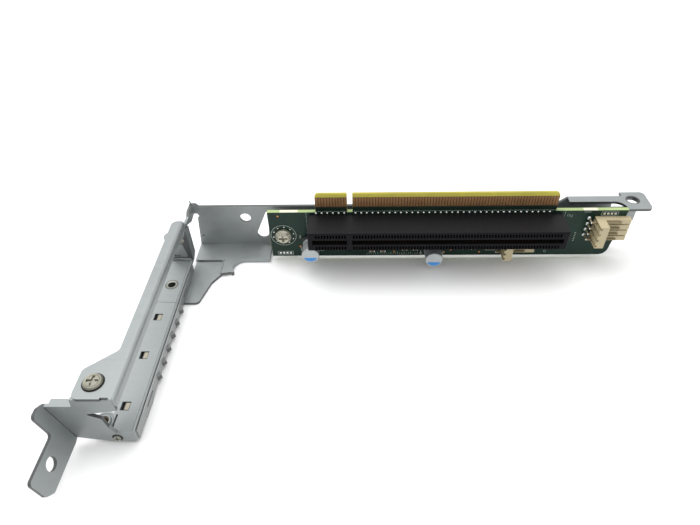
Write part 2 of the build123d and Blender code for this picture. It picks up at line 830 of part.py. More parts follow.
# Thin contact strip clipped over the skirt, with raised fingers
strip_top = frame_floor - strip_top_gap
strip_bottom = skirt_bottom + strip_bottom_gap
strip_face = frame_right + strip_thickness
with BuildPart() as contact_strip:
    with BuildSketch(Plane.YZ.offset(frame_right)):
        with Locations(((strip_back + strip_front) / 2, (strip_top + strip_bottom) / 2)):
            Rectangle(strip_back - strip_front, strip_top - strip_bottom)
        bulge_y, bulge_length, bulge_drop = strip_bulge
        with BuildLine():
            ends = ((bulge_y - bulge_length / 2, strip_bottom), (bulge_y + bulge_length / 2, strip_bottom))
            ThreePointArc(ends[0], (bulge_y, strip_bottom - bulge_drop), ends[1])
            Line(ends[1], ends[0])
        make_face()
        for slot_y, slot_length in strip_slots:
            with Locations((slot_y, (strip_top + strip_bottom) / 2)):
                Rectangle(slot_length, strip_slot_height, mode=Mode.SUBTRACT)
    extrude(amount=strip_thickness)
    with BuildSketch(Plane.XY.offset(strip_bottom)):
        for i in range(finger_bump_count):
            bump_y = finger_bump_first - finger_bump_pitch * i
            with BuildLine():
                Polyline(
                    (strip_face, bump_y + finger_bump_length / 2),
                    (strip_face + finger_bump_reach, bump_y),
                    (strip_face, bump_y - finger_bump_length / 2),
                    close=True,
                )
            make_face()
    extrude(amount=finger_bump_height)
    # clips: under the skirt, up its inner side, along below the floor and up through the square holes
    inner_face = frame_right - sheet
    clip_under = skirt_bottom - strip_thickness
    with BuildSketch(Plane.XZ.offset(-square_hole_y[0] - clip_width / 2)) as clip:
        with BuildLine():
            Polyline(
                (strip_face, strip_bottom + strip_thickness),
                (strip_face, clip_under),
                (inner_face - strip_thickness, clip_under),
                (inner_face - strip_thickness, floor_under - strip_thickness),
                (clip_hook_x - strip_thickness, floor_under - strip_thickness),
                (clip_hook_x - strip_thickness, clip_hook_top),
                (clip_hook_x, clip_hook_top),
                (clip_hook_x, floor_under),
                (inner_face, floor_under),
                (inner_face, skirt_bottom),
                (frame_right, skirt_bottom),
                (frame_right, strip_bottom + strip_thickness),
                close=True,
            )
        make_face()
    extrude(amount=clip_width)
    for y in square_hole_y[1:]:
        with BuildSketch(Plane.XZ.offset(-y - clip_width / 2)):
            add(clip.sketch_local)
        extrude(amount=clip_width)

# Board screw with a cross recess
with BuildPart() as board_screw:
    with BuildSketch(Plane.XZ):
        with Locations((board_screw_x, board_screw_z)):
            Circle(screw_head_radius)
    extrude(amount=screw_head_height)
    chamfer(faces().sort_by(Axis.Y)[0].edges(), screw_head_height / 2)
    with BuildSketch(Plane.XZ):
        with Locations((board_screw_x, board_screw_z)):
            Circle(screw_shank_radius)
    extrude(amount=-screw_shank_length)
    with BuildSketch(Plane.XZ.offset(screw_head_height)):
        with Locations((board_screw_x, board_screw_z)):
            Rectangle(recess_span, recess_width)
            Rectangle(recess_width, recess_span)
    extrude(amount=-recess_depth, mode=Mode.SUBTRACT)

# Stand-off clinched in the plate, which the board screw enters
with BuildPart() as board_standoff:
    with BuildSketch(Plane.XZ.offset(-board_thickness)):
        with Locations((board_screw_x, board_screw_z)):
            RegularPolygon(standoff_radius, 6)
    extrude(amount=board_thickness - plate_front)
    with BuildSketch(Plane.XZ.offset(-plate_front)):
        with Locations((board_screw_x, board_screw_z)):
            Circle(clinch_hole_radius - fit_clearance)
    extrude(amount=-sheet)
    with BuildSketch(Plane.XZ.offset(-board_thickness)):
        with Locations((board_screw_x, board_screw_z)):
            Circle(standoff_bore)
    extrude(amount=board_thickness - plate_back, mode=Mode.SUBTRACT)

# Screw with a washer head that holds the rail's tab on the ledge
with BuildPart() as tab_screw:
    with BuildSketch(Plane.XY.offset(rail_top)):
        with Locations(tab_screw_place):
            Circle(tab_screw_radius)
    extrude(amount=tab_screw_height)
    chamfer(faces().sort_by(Axis.Z)[-1].edges(), tab_screw_height / 2)
    with BuildSketch(Plane.XY.offset(rail_top)):
        with Locations(tab_screw_place):
            Circle(tab_screw_shank)
    extrude(amount=-tab_screw_reach)
    with BuildSketch(Plane.XY.offset(rail_top + tab_screw_height)):
        with Locations(tab_screw_place):
            Rectangle(recess_span, recess_width)
            Rectangle(recess_width, recess_span)
    extrude(amount=-tab_screw_height / 2, mode=Mode.SUBTRACT)

# Clinch nut in the window frame's floor, standing on the gusset
with BuildPart() as clinch_nut:
    with BuildSketch(Plane.XY.offset(skirt_bottom)):
        with Locations(clinch_nut_place):
            RegularPolygon(clinch_nut_foot, 6)
            Circle(clinch_nut_bore, mode=Mode.SUBTRACT)
    extrude(amount=floor_under - skirt_bottom)
    with BuildSketch(Plane.XY.offset(floor_under)):
        with Locations(clinch_nut_place):
            Circle(clinch_nut_radius - fit_clearance)
            Circle(clinch_nut_bore, mode=Mode.SUBTRACT)
    extrude(amount=sheet)

# Rivets in the far wall and in the window face's corner
with BuildPart() as end_rivet:
    with BuildSketch(Plane.XZ.offset(-frame_back)):
        with Locations(rivet_place):
            Circle(rivet_radius - fit_clearance)
    extrude(amount=sheet)
    with BuildSketch(Plane.XZ.offset(sheet - frame_back)):
        with Locations(rivet_place):
            Circle(rivet_radius + rivet_head_edge)
    extrude(amount=rivet_head)
    chamfer(faces().sort_by(Axis.Y)[0].edges(), rivet_head_edge)

with BuildPart() as corner_rivet:
    with BuildSketch(Plane.XZ.offset(-frame_front)):
        with Locations(corner_rivet_place):
            Circle(corner_rivet_radius - fit_clearance)
    extrude(amount=-2 * sheet)
    with BuildSketch(Plane.XZ.offset(-frame_front)):
        with Locations(corner_rivet_place):
            Circle(corner_rivet_radius + corner_rivet_head / 2)
    extrude(amount=corner_rivet_head)
    chamfer(faces().sort_by(Axis.Y)[0].edges(), corner_rivet_head / 2)

pieces = {
    "riser_board": riser_board,
    "edge_fingers_front": edge_fingers_front,
    "edge_fingers_back": edge_fingers_back,
    "slot_housing": slot_housing,
    "slot_contacts_upper": slot_contacts_upper,
    "slot_contacts_lower": slot_contacts_lower,
    "slot_tails": slot_tails,
    "chip_parts": chip_parts,
    "test_pads": test_pads,
    "main_bracket": main_bracket,
    "window_frame": window_frame,
    "window_face": window_face,
    "contact_strip": contact_strip,
    "board_screw": board_screw,
    "board_standoff": board_standoff,
    "tab_screw": tab_screw,
    "clinch_nut": clinch_nut,
    "end_rivet": end_rivet,
    "corner_rivet": corner_rivet,
}
pieces.update(capacitor_parts)
pieces.update(header_parts)
for name, piece in pieces.items():
    piece.part.label = name
    export_step(piece.part, "parts/" + name + ".step")
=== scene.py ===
import math

import bmesh
import bpy
from mathutils import Matrix, Vector
from mathutils.bvhtree import BVHTree


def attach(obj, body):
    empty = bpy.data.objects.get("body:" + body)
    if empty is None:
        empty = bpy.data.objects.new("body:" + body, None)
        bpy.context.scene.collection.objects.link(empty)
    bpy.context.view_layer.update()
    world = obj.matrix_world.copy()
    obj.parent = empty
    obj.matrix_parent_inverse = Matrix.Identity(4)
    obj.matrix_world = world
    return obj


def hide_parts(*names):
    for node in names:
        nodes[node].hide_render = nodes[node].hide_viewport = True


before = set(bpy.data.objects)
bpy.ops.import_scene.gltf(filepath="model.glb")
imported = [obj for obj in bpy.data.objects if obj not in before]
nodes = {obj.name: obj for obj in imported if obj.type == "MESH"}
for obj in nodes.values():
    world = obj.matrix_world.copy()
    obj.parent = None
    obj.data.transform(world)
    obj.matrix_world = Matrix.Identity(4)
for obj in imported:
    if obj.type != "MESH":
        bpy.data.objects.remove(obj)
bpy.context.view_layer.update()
bpy.ops.object.select_all(action="DESELECT")

MM = 0.001
TABLE = -18.0 * MM

# Camera at the photo's viewing angle
camera_right = Vector((0.99966, 0.01554, -0.02066))
camera_down = Vector((-0.00485, -0.67227, -0.74029))
camera_ahead = Vector((-0.02539, 0.74015, -0.67197))
camera_place = Vector((4.924, -156.455, 122.693)) * MM
camera_data = bpy.data.cameras.new("photo_camera")
camera_data.sensor_width = 36.0
camera_data.lens = 28.462
camera_data.clip_start = 0.005
camera_data.clip_end = 20.0
camera = bpy.data.objects.new("photo_camera", camera_data)
bpy.context.scene.collection.objects.link(camera)
turn = Matrix((camera_right, -camera_down, -camera_ahead)).transposed()
camera.matrix_world = Matrix.Translation(camera_place) @ turn.to_4x4()
bpy.context.scene.camera = camera


# Shader groups
def new_group(name, inputs, outputs):
    """A shader node group with named sockets, and its input and output nodes."""
    group = bpy.data.node_groups.new(name, "ShaderNodeTree")
    for label, kind, value in inputs:
        socket = group.interface.new_socket(name=label, in_out="INPUT", socket_type=kind)
        if value is not None:
            socket.default_value = value
    for label, kind in outputs:
        group.interface.new_socket(name=label, in_out="OUTPUT", socket_type=kind)
    return group, group.nodes.new("NodeGroupInput"), group.nodes.new("NodeGroupOutput")


def noise(group, scale, detail=4.0, rough=0.55, coords=None):
    """Cloudy noise of a given scale."""
    node = group.nodes.new("ShaderNodeTexNoise")
    node.inputs["Scale"].default_value = scale
    node.inputs["Detail"].default_value = detail
    node.inputs["Roughness"].default_value = rough
    if coords is not None:
        group.links.new(coords, node.inputs["Vector"])
    return node


def span(group, source, low, high, to_low=0.0, to_high=1.0):
    """Stretches a value from one range to another."""
    node = group.nodes.new("ShaderNodeMapRange")
    node.inputs["From Min"].default_value = low
    node.inputs["From Max"].default_value = high
    node.inputs["To Min"].default_value = to_low
    node.inputs["To Max"].default_value = to_high
    group.links.new(source, node.inputs["Value"])
    return node.outputs["Result"]


def maths(group, operation, a, b=None):
    """One sum of two values, each a number or a socket."""
    node = group.nodes.new("ShaderNodeMath")
    node.operation = operation
    for i, value in enumerate((a, b)):
        if value is None:
            continue
        if isinstance(value, (int, float)):
            node.inputs[i].default_value = value
        else:
            group.links.new(value, node.inputs[i])
    return node.outputs[0]


def blend_colour(group, factor, a, b, kind="MIX"):
    """Blends two colours by a factor, each a value or a socket."""
    node = group.nodes.new("ShaderNodeMix")
    node.data_type = "RGBA"
    node.blend_type = kind
    for socket, value in ((node.inputs[0], factor), (node.inputs[6], a), (node.inputs[7], b)):
        if isinstance(value, (int, float)):
            socket.default_value = value
        elif isinstance(value, tuple):
            socket.default_value = value
        else:
            group.links.new(value, socket)
    return node.outputs[2]


def make_zinc_spangle():
    """Galvanised sheet: soft crystal patches, rolling lines, fine pits and handling smudges."""
    group, source, sink = new_group(
        "zinc_spangle",
        [("Vector", "NodeSocketVector", None), ("Colour", "NodeSocketColor", (0.6, 0.62, 0.62, 1)),
         ("Contrast", "NodeSocketFloat", 0.5), ("Roughness", "NodeSocketFloat", 0.4),
         ("Patch Scale", "NodeSocketFloat", 420.0)],
        [("Colour", "NodeSocketColor"), ("Roughness", "NodeSocketFloat"), ("Height", "NodeSocketFloat")],
    )
    cells = group.nodes.new("ShaderNodeTexVoronoi")
    cells.inputs["Randomness"].default_value = 1.0
    group.links.new(source.outputs["Vector"], cells.inputs["Vector"])
    group.links.new(source.outputs["Patch Scale"], cells.inputs["Scale"])
    tone = group.nodes.new("ShaderNodeSeparateColor")
    group.links.new(cells.outputs["Color"], tone.inputs[0])
    smudge = noise(group, 55.0, 5.0, 0.6, source.outputs["Vector"])
    pits = noise(group, 2600.0, 3.0, 0.6, source.outputs["Vector"])
    rolling = group.nodes.new("ShaderNodeMapping")
    rolling.inputs["Scale"].default_value = (40.0, 2600.0, 2600.0)
    group.links.new(source.outputs["Vector"], rolling.inputs["Vector"])
    lines = noise(group, 1.0, 2.0, 0.5, rolling.outputs["Vector"])
    patch = maths(group, "MULTIPLY", maths(group, "SUBTRACT", tone.outputs[0], 0.5), 0.10)
    cloud = maths(group, "MULTIPLY", maths(group, "SUBTRACT", smudge.outputs["Fac"], 0.5), 0.55)
    streak = maths(group, "MULTIPLY", maths(group, "SUBTRACT", lines.outputs["Fac"], 0.5), 0.18)
    speck = maths(group, "MULTIPLY", maths(group, "SUBTRACT", pits.outputs["Fac"], 0.5), 0.25)
    total = maths(group, "ADD", maths(group, "ADD", patch, cloud), maths(group, "ADD", streak, speck))
    factor = maths(group, "ADD", maths(group, "MULTIPLY", total, source.outputs["Contrast"]), 1.0)
    shade = group.nodes.new("ShaderNodeVectorMath")
    shade.operation = "SCALE"
    group.links.new(source.outputs["Colour"], shade.inputs[0])
    group.links.new(factor, shade.inputs["Scale"])
    group.links.new(shade.outputs[0], sink.inputs["Colour"])
    group.links.new(
        maths(group, "ADD", source.outputs["Roughness"], maths(group, "MULTIPLY", total, 0.5)),
        sink.inputs["Roughness"],
    )
    group.links.new(maths(group, "ADD", total, 0.5), sink.inputs["Height"])
    return group


def make_moulded_grain():
    """Moulded plastic: fine grain, faint flow marks and a little dust."""
    group, source, sink = new_group(
        "moulded_grain",
        [("Vector", "NodeSocketVector", None), ("Colour", "NodeSocketColor", (0.1, 0.1, 0.1, 1)),
         ("Dust", "NodeSocketFloat", 0.1), ("Roughness", "NodeSocketFloat", 0.5)],
        [("Colour", "NodeSocketColor"), ("Roughness", "NodeSocketFloat"), ("Height", "NodeSocketFloat")],
    )
    grain = noise(group, 3800.0, 2.0, 0.5, source.outputs["Vector"])
    flow = noise(group, 130.0, 4.0, 0.6, source.outputs["Vector"])
    fluff = noise(group, 900.0, 5.0, 0.7, source.outputs["Vector"])
    dust = maths(group, "MULTIPLY", span(group, fluff.outputs["Fac"], 0.52, 0.75), source.outputs["Dust"])
    vary = maths(group, "ADD", maths(group, "MULTIPLY", flow.outputs["Fac"], 0.3), 0.85)
    shade = group.nodes.new("ShaderNodeVectorMath")
    shade.operation = "SCALE"
    group.links.new(source.outputs["Colour"], shade.inputs[0])
    group.links.new(vary, shade.inputs["Scale"])
    group.links.new(
        blend_colour(group, dust, shade.outputs[0], (0.42, 0.41, 0.38, 1)), sink.inputs["Colour"]
    )
    rough = maths(group, "ADD", source.outputs["Roughness"], maths(group, "MULTIPLY", dust, 0.5))
    sheen = maths(group, "MULTIPLY", maths(group, "SUBTRACT", flow.outputs["Fac"], 0.5), 0.2)
    rough = maths(group, "ADD", rough, sheen)
    group.links.new(rough, sink.inputs["Roughness"])
    group.links.new(grain.outputs["Fac"], sink.inputs["Height"])
    return group


def make_worn_plating():
    """Plated metal: cloudy tone, tiny scratches, dark spots."""
    group, source, sink = new_group(
        "worn_plating",
        [("Vector", "NodeSocketVector", None), ("Colour", "NodeSocketColor", (0.7, 0.6, 0.3, 1)),
         ("Wear", "NodeSocketFloat", 0.4), ("Roughness", "NodeSocketFloat", 0.3)],
        [("Colour", "NodeSocketColor"), ("Roughness", "NodeSocketFloat"), ("Height", "NodeSocketFloat")],
    )
    cloud = noise(group, 260.0, 5.0, 0.6, source.outputs["Vector"])
    scratch_map = group.nodes.new("ShaderNodeMapping")
    scratch_map.inputs["Rotation"].default_value = (0.2, 0.5, 0.9)
    scratch_map.inputs["Scale"].default_value = (300.0, 6000.0, 900.0)
    group.links.new(source.outputs["Vector"], scratch_map.inputs["Vector"])
    scratch = noise(group, 1.0, 2.0, 0.5, scratch_map.outputs["Vector"])
    tone = maths(group, "ADD", maths(group, "SUBTRACT", cloud.outputs["Fac"], 0.5),
                 maths(group, "MULTIPLY", maths(group, "SUBTRACT", scratch.outputs["Fac"], 0.5), 0.6))
    factor = maths(group, "ADD", maths(group, "MULTIPLY", tone, source.outputs["Wear"]), 1.0)
    shade = group.nodes.new("ShaderNodeVectorMath")
    shade.operation = "SCALE"
    group.links.new(source.outputs["Colour"], shade.inputs[0])
    group.links.new(factor, shade.inputs["Scale"])
    group.links.new(shade.outputs[0], sink.inputs["Colour"])
    group.links.new(
        maths(group, "ADD", source.outputs["Roughness"], maths(group, "MULTIPLY", tone, 0.35)),
        sink.inputs["Roughness"],
    )
    group.links.new(scratch.outputs["Fac"], sink.inputs["Height"])
    return group


zinc_spangle = make_zinc_spangle()
moulded_grain = make_moulded_grain()
worn_plating = make_worn_plating()


def finish_material(name, effect, settings, metallic=0.0, bump=0.0002, coat=0.0, specular=0.5):
    """A material whose colour, roughness and relief come from a shared effect group."""
    material = bpy.data.materials.new(name)
    material.use_nodes = True
    tree = material.node_tree
    shader = tree.nodes["Principled BSDF"]
    shader.inputs["Metallic"].default_value = metallic
    shader.inputs["Coat Weight"].default_value = coat
    shader.inputs["Specular IOR Level"].default_value = specular
    coords = tree.nodes.new("ShaderNodeTexCoord")
    group = tree.nodes.new("ShaderNodeGroup")
    group.node_tree = effect
    for label, value in settings.items():
        group.inputs[label].default_value = value
    tree.links.new(coords.outputs["Object"], group.inputs["Vector"])
    tree.links.new(group.outputs["Colour"], shader.inputs["Base Color"])
    tree.links.new(group.outputs["Roughness"], shader.inputs["Roughness"])
    relief = tree.nodes.new("ShaderNodeBump")
    relief.inputs["Strength"].default_value = 0.35
    relief.inputs["Distance"].default_value = bump
    tree.links.new(group.outputs["Height"], relief.inputs["Height"])
    tree.links.new(relief.outputs["Normal"], shader.inputs["Normal"])
    return material


steel = finish_material(
    "galvanised_steel", zinc_spangle,
    {"Colour": (0.30, 0.322, 0.322, 1), "Contrast": 0.6, "Roughness": 0.48}, metallic=0.7, bump=0.00002,
)
spring_steel = finish_material(
    "spring_steel", zinc_spangle,
    {"Colour": (0.31, 0.325, 0.32, 1), "Contrast": 0.4, "Roughness": 0.4, "Patch Scale": 900.0},
    metallic=0.8, bump=0.00001,
)
plated_screw = finish_material(
    "plated_screw", worn_plating, {"Colour": (0.25, 0.245, 0.20, 1), "Wear": 0.8, "Roughness": 0.34},
    metallic=0.9, bump=0.00001,
)
bright_screw = finish_material(
    "bright_screw", worn_plating, {"Colour": (0.44, 0.425, 0.34, 1), "Wear": 1.4, "Roughness": 0.34},
    metallic=0.6, bump=0.00002,
)
zinc_turned = finish_material(
    "zinc_turned", worn_plating, {"Colour": (0.255, 0.26, 0.235, 1), "Wear": 0.6, "Roughness": 0.36},
    metallic=0.85, bump=0.00001,
)
gold_finger = finish_material(
    "gold_finger", worn_plating, {"Colour": (0.29, 0.155, 0.066, 1), "Wear": 0.35, "Roughness": 0.4},
    metallic=0.6, bump=0.000005,
)
solder = finish_material(
    "solder", worn_plating, {"Colour": (0.78, 0.79, 0.78, 1), "Wear": 0.3, "Roughness": 0.22},
    metallic=0.8, bump=0.00001,
)
tinned_pin = finish_material(
    "tinned_pin", worn_plating, {"Colour": (0.74, 0.72, 0.68, 1), "Wear": 0.4, "Roughness": 0.25},
    metallic=0.9, bump=0.00001,
)
slot_plastic = finish_material(
    "slot_plastic", moulded_grain, {"Colour": (0.0065, 0.0062, 0.0072, 1), "Dust": 0.008, "Roughness": 0.5},
    bump=0.00002, specular=0.17,
)
# A darker copy of the slot's plastic for its side and front faces: painted shade.
slot_painted_shade = finish_material(
    "slot_plastic_painted_shade", moulded_grain,
    {"Colour": (0.0038, 0.0036, 0.0052, 1), "Dust": 0.006, "Roughness": 0.6},
    bump=0.00002, specular=0.12,
)
slot_contact = finish_material(
    "slot_contact", worn_plating, {"Colour": (0.055, 0.032, 0.014, 1), "Wear": 0.4, "Roughness": 0.45},
    metallic=0.6, bump=0.000005,
)
# Dark brown for the thread inside the lug hole: painted shade.
pin_in_shade = finish_material(
    "thread_painted_shade", worn_plating, {"Colour": (0.24, 0.19, 0.12, 1), "Wear": 0.4, "Roughness": 0.45},
    metallic=0.4, bump=0.000005,
)
nylon = finish_material(
    "header_nylon", moulded_grain, {"Colour": (0.45, 0.385, 0.235, 1), "Dust": 0.03, "Roughness": 0.5},
    bump=0.00002,
)
# A darker copy of the nylon for the pins between the fins: painted shade.
nylon_shade = finish_material(
    "header_nylon_painted_shade", moulded_grain,
    {"Colour": (0.20, 0.165, 0.09, 1), "Dust": 0.02, "Roughness": 0.6},
    bump=0.00002,
)
base_plastic = finish_material(
    "capacitor_base_plastic", moulded_grain,
    {"Colour": (0.02, 0.02, 0.02, 1), "Dust": 0.08, "Roughness": 0.5},
    bump=0.00002,
)
can_metal = finish_material(
    "capacitor_can", worn_plating, {"Colour": (0.46, 0.48, 0.49, 1), "Wear": 0.25, "Roughness": 0.34},
    metallic=0.55, bump=0.000008,
)
chip_body = finish_material(
    "chip_body", moulded_grain, {"Colour": (0.16, 0.11, 0.075, 1), "Dust": 0.1, "Roughness": 0.5},
    bump=0.00001,
)
white_mark = finish_material(
    "white_mark", moulded_grain, {"Colour": (0.40, 0.45, 0.41, 1), "Dust": 0.25, "Roughness": 0.6},
    bump=0.00001,
)
copper_via = finish_material(
    "copper_via", worn_plating, {"Colour": (0.55, 0.22, 0.07, 1), "Wear": 0.4, "Roughness": 0.35},
    metallic=0.5, bump=0.000005,
)


# The board's solder mask and cut edge
def make_solder_mask():
    """Green lacquer over copper: faint tracks and cloudy gloss."""
    group, source, sink = new_group(
        "solder_mask",
        [("Vector", "NodeSocketVector", None), ("Colour", "NodeSocketColor", (0.01, 0.06, 0.035, 1)),
         ("Track Colour", "NodeSocketColor", (0.02, 0.11, 0.06, 1)), ("Roughness", "NodeSocketFloat", 0.3)],
        [("Colour", "NodeSocketColor"), ("Roughness", "NodeSocketFloat"), ("Height", "NodeSocketFloat")],
    )
    split = group.nodes.new("ShaderNodeSeparateXYZ")
    group.links.new(source.outputs["Vector"], split.inputs[0])
    flat = group.nodes.new("ShaderNodeCombineXYZ")
    group.links.new(split.outputs["X"], flat.inputs["X"])
    group.links.new(split.outputs["Z"], flat.inputs["Y"])
    tracks = group.nodes.new("ShaderNodeTexBrick")
    tracks.inputs["Scale"].default_value = 380.0
    tracks.inputs["Mortar Size"].default_value = 0.03
    tracks.inputs["Mortar Smooth"].default_value = 0.3
    tracks.inputs["Brick Width"].default_value = 1.1
    tracks.inputs["Row Height"].default_value = 0.31
    tracks.inputs["Color1"].default_value = (0, 0, 0, 1)
    tracks.inputs["Color2"].default_value = (0, 0, 0, 1)
    tracks.inputs["Mortar"].default_value = (1, 1, 1, 1)
    group.links.new(flat.outputs[0], tracks.inputs["Vector"])
    patches = noise(group, 120.0, 2.0, 0.4, source.outputs["Vector"])
    where = span(group, patches.outputs["Fac"], 0.48, 0.56)
    lines = maths(group, "MULTIPLY", tracks.outputs["Fac"], where)
    cloud = noise(group, 60.0, 4.0, 0.6, source.outputs["Vector"])
    mixed = blend_colour(group, maths(group, "MULTIPLY", lines, 0.75),
                         source.outputs["Colour"], source.outputs["Track Colour"])
    shade = group.nodes.new("ShaderNodeVectorMath")
    shade.operation = "SCALE"
    group.links.new(mixed, shade.inputs[0])
    cloudiness = maths(group, "ADD", maths(group, "MULTIPLY", cloud.outputs["Fac"], 0.7), 0.65)
    group.links.new(cloudiness, shade.inputs["Scale"])
    group.links.new(shade.outputs[0], sink.inputs["Colour"])
    dullness = maths(group, "MULTIPLY", cloud.outputs["Fac"], 0.15)
    group.links.new(maths(group, "ADD", source.outputs["Roughness"], dullness), sink.inputs["Roughness"])
    group.links.new(lines, sink.inputs["Height"])
    return group


def make_laminate_edge():
    """Cut edge of glass laminate: fine layers along the board and ragged fibres."""
    group, source, sink = new_group(
        "laminate_edge",
        [("Vector", "NodeSocketVector", None), ("Colour", "NodeSocketColor", (0.4, 0.45, 0.2, 1)),
         ("Roughness", "NodeSocketFloat", 0.6)],
        [("Colour", "NodeSocketColor"), ("Roughness", "NodeSocketFloat"), ("Height", "NodeSocketFloat")],
    )
    stretch = group.nodes.new("ShaderNodeMapping")
    stretch.inputs["Scale"].default_value = (500.0, 5200.0, 1500.0)
    group.links.new(source.outputs["Vector"], stretch.inputs["Vector"])
    fibres = noise(group, 1.0, 4.0, 0.65, stretch.outputs["Vector"])
    cloud = noise(group, 90.0, 3.0, 0.5, source.outputs["Vector"])
    tone = maths(group, "ADD", maths(group, "MULTIPLY", fibres.outputs["Fac"], 0.5),
                 maths(group, "MULTIPLY", cloud.outputs["Fac"], 0.4))
    shade = group.nodes.new("ShaderNodeVectorMath")
    shade.operation = "SCALE"
    group.links.new(source.outputs["Colour"], shade.inputs[0])
    group.links.new(maths(group, "ADD", tone, 0.55), shade.inputs["Scale"])
    group.links.new(shade.outputs[0], sink.inputs["Colour"])
    raggedness = maths(group, "MULTIPLY", fibres.outputs["Fac"], 0.2)
    group.links.new(maths(group, "ADD", source.outputs["Roughness"], raggedness), sink.inputs["Roughness"])
    group.links.new(fibres.outputs["Fac"], sink.inputs["Height"])
    return group


solder_mask = make_solder_mask()
laminate_edge = make_laminate_edge()
mask_green = finish_material(
    "board_mask", solder_mask,
    {"Colour": (0.0045, 0.022, 0.0145, 1), "Track Colour": (0.009, 0.046, 0.029, 1), "Roughness": 0.3},
    bump=0.00001, coat=0.06, specular=0.2,
)
# A darker copy of the mask, for the band below the fingers: painted shade.
mask_painted_shade = finish_material(
    "board_mask_shaded", solder_mask,
    {"Colour": (0.006, 0.016, 0.011, 1), "Track Colour": (0.01, 0.03, 0.02, 1), "Roughness": 0.35},
    bump=0.00001, coat=0.05, specular=0.25,
)
edge_green = finish_material(
    "board_edge", laminate_edge, {"Colour": (0.36, 0.46, 0.20, 1), "Roughness": 0.55}, bump=0.00002,
)
edge_cream = finish_material(
    "board_edge_cream", laminate_edge, {"Colour": (0.72, 0.69, 0.55, 1), "Roughness": 0.6}, bump=0.00002,
)
edge_yellow = finish_material(
    "tongue_bevel", laminate_edge, {"Colour": (0.42, 0.37, 0.045, 1), "Roughness": 0.5}, bump=0.00001,
)
finger_ground = finish_material(
    "between_fingers", laminate_edge, {"Colour": (0.07, 0.035, 0.012, 1), "Roughness": 0.5}, bump=0.00001,
)
# Dark edge steel: partly the raw steel of sheared edges, partly painted shade on sheet edges, folds, gaps
# and rims.
sheared_edge_and_shade = finish_material(
    "sheared_edge_and_shade", zinc_spangle,
    {"Colour": (0.12, 0.125, 0.125, 1), "Contrast": 0.9, "Roughness": 0.5, "Patch Scale": 1500.0},
    metallic=0.8, bump=0.00004,
)
can_print = finish_material(
    "can_print_blue", moulded_grain, {"Colour": (0.035, 0.24, 0.62, 1), "Dust": 0.05, "Roughness": 0.35},
    bump=0.000005,
)
can_top = finish_material(
    "can_top", worn_plating, {"Colour": (0.44, 0.465, 0.47, 1), "Wear": 0.3, "Roughness": 0.4},
    metallic=0.25, bump=0.000008,
)
# Near-black for gap lines, shade rings, clip leaves, slot backing and the rivet cross: painted shade.
black_painted_shade = finish_material(
    "painted_shade_deep_black", moulded_grain, {"Colour": (0.004, 0.004, 0.004, 1), "Dust": 0.0, "Roughness": 0.7},
    bump=0.00001,
)
clip_face = finish_material(
    "clip_face", worn_plating, {"Colour": (0.36, 0.33, 0.26, 1), "Wear": 0.5, "Roughness": 0.45},
    metallic=0.4, bump=0.00001,
)


# Mesh helpers
def add_object(name, mesh):
    obj = bpy.data.objects.new(name, mesh)
    bpy.context.scene.collection.objects.link(obj)
    return obj


def select_only(obj):
    bpy.ops.object.select_all(action="DESELECT")
    obj.select_set(True)
    bpy.context.view_layer.objects.active = obj


def edit(obj):
    """Opens a piece in edit mode with all of it selected."""
    select_only(obj)
    bpy.ops.object.mode_set(mode="EDIT")
    bpy.ops.mesh.select_mode(type="VERT")
    bpy.ops.mesh.select_all(action="SELECT")


def start_piece(name):
    """A new piece, open in edit mode, that takes the primitives added next."""
    obj = add_object(name, bpy.data.meshes.new(name))
    edit(obj)
    return obj


def close_piece(obj, material):
    """Turns a new piece's faces outwards, ends its editing and gives it its material."""
    bpy.ops.mesh.select_all(action="SELECT")
    bpy.ops.mesh.normals_make_consistent(inside=False)
    bpy.ops.object.mode_set(mode="OBJECT")
    obj.data.materials.append(material)
    return obj


def pick(test):
    """Selects the vertices of the open piece for which test(place in mm) is true."""
    mesh = bmesh.from_edit_mesh(bpy.context.edit_object.data)
    bpy.ops.mesh.select_all(action="DESELECT")
    for vert in mesh.verts:
        vert.select = test(vert.co / MM)
    mesh.select_flush(True)
    bmesh.update_edit_mesh(bpy.context.edit_object.data)


def cut_at(place, normal, clear_outer=False):
    """Cuts the open piece at a plane, and may take away what lies beyond it."""
    bpy.ops.mesh.select_all(action="SELECT")
    bpy.ops.mesh.bisect(plane_co=Vector(place) * MM, plane_no=normal, use_fill=clear_outer,
                        clear_outer=clear_outer, threshold=1e-7)


def add_block(low, high):
    """Adds a block between two corners in mm to the open piece."""
    low, high = Vector(low) * MM, Vector(high) * MM
    bpy.ops.mesh.primitive_cube_add(size=1.0, calc_uvs=False, location=(low + high) / 2, scale=high - low)


def add_ball(place, radius, height, around=10, rings=6):
    """Adds a ball to the open piece, flattened along the board's thickness."""
    bpy.ops.mesh.primitive_uv_sphere_add(
        segments=around, ring_count=rings, radius=1.0, calc_uvs=False, location=Vector(place) * MM,
        rotation=(math.pi / 2, 0, 0), scale=Vector((radius, radius, height)) * MM,
    )


def add_stroke(start, stop, width):
    """Adds a flat printed line on the board's front, between two (x, z) points in mm."""
    start, stop = Vector(start), Vector(stop)
    middle, along = (start + stop) / 2, stop - start
    bpy.ops.mesh.primitive_cube_add(
        size=1.0, calc_uvs=False, location=Vector((middle.x, -print_thickness / 2, middle.y)) * MM,
        rotation=(0, -math.atan2(along.y, along.x), 0),
        scale=Vector((along.length + 0.6 * width, print_thickness, width)) * MM,
    )


def add_outline(points, width, closed=False):
    """Adds printed lines from point to point."""
    for start, stop in zip(points, points[1:] + points[:1] if closed else points[1:]):
        add_stroke(start, stop, width)


def ring_points(x, z, radius, count, start=0.0):
    """Points, in mm, evenly spread on a ring on the board's front."""
    turns = [start + 2 * math.pi * i / count for i in range(count)]
    return [(x + radius * math.cos(turn), z + radius * math.sin(turn)) for turn in turns]


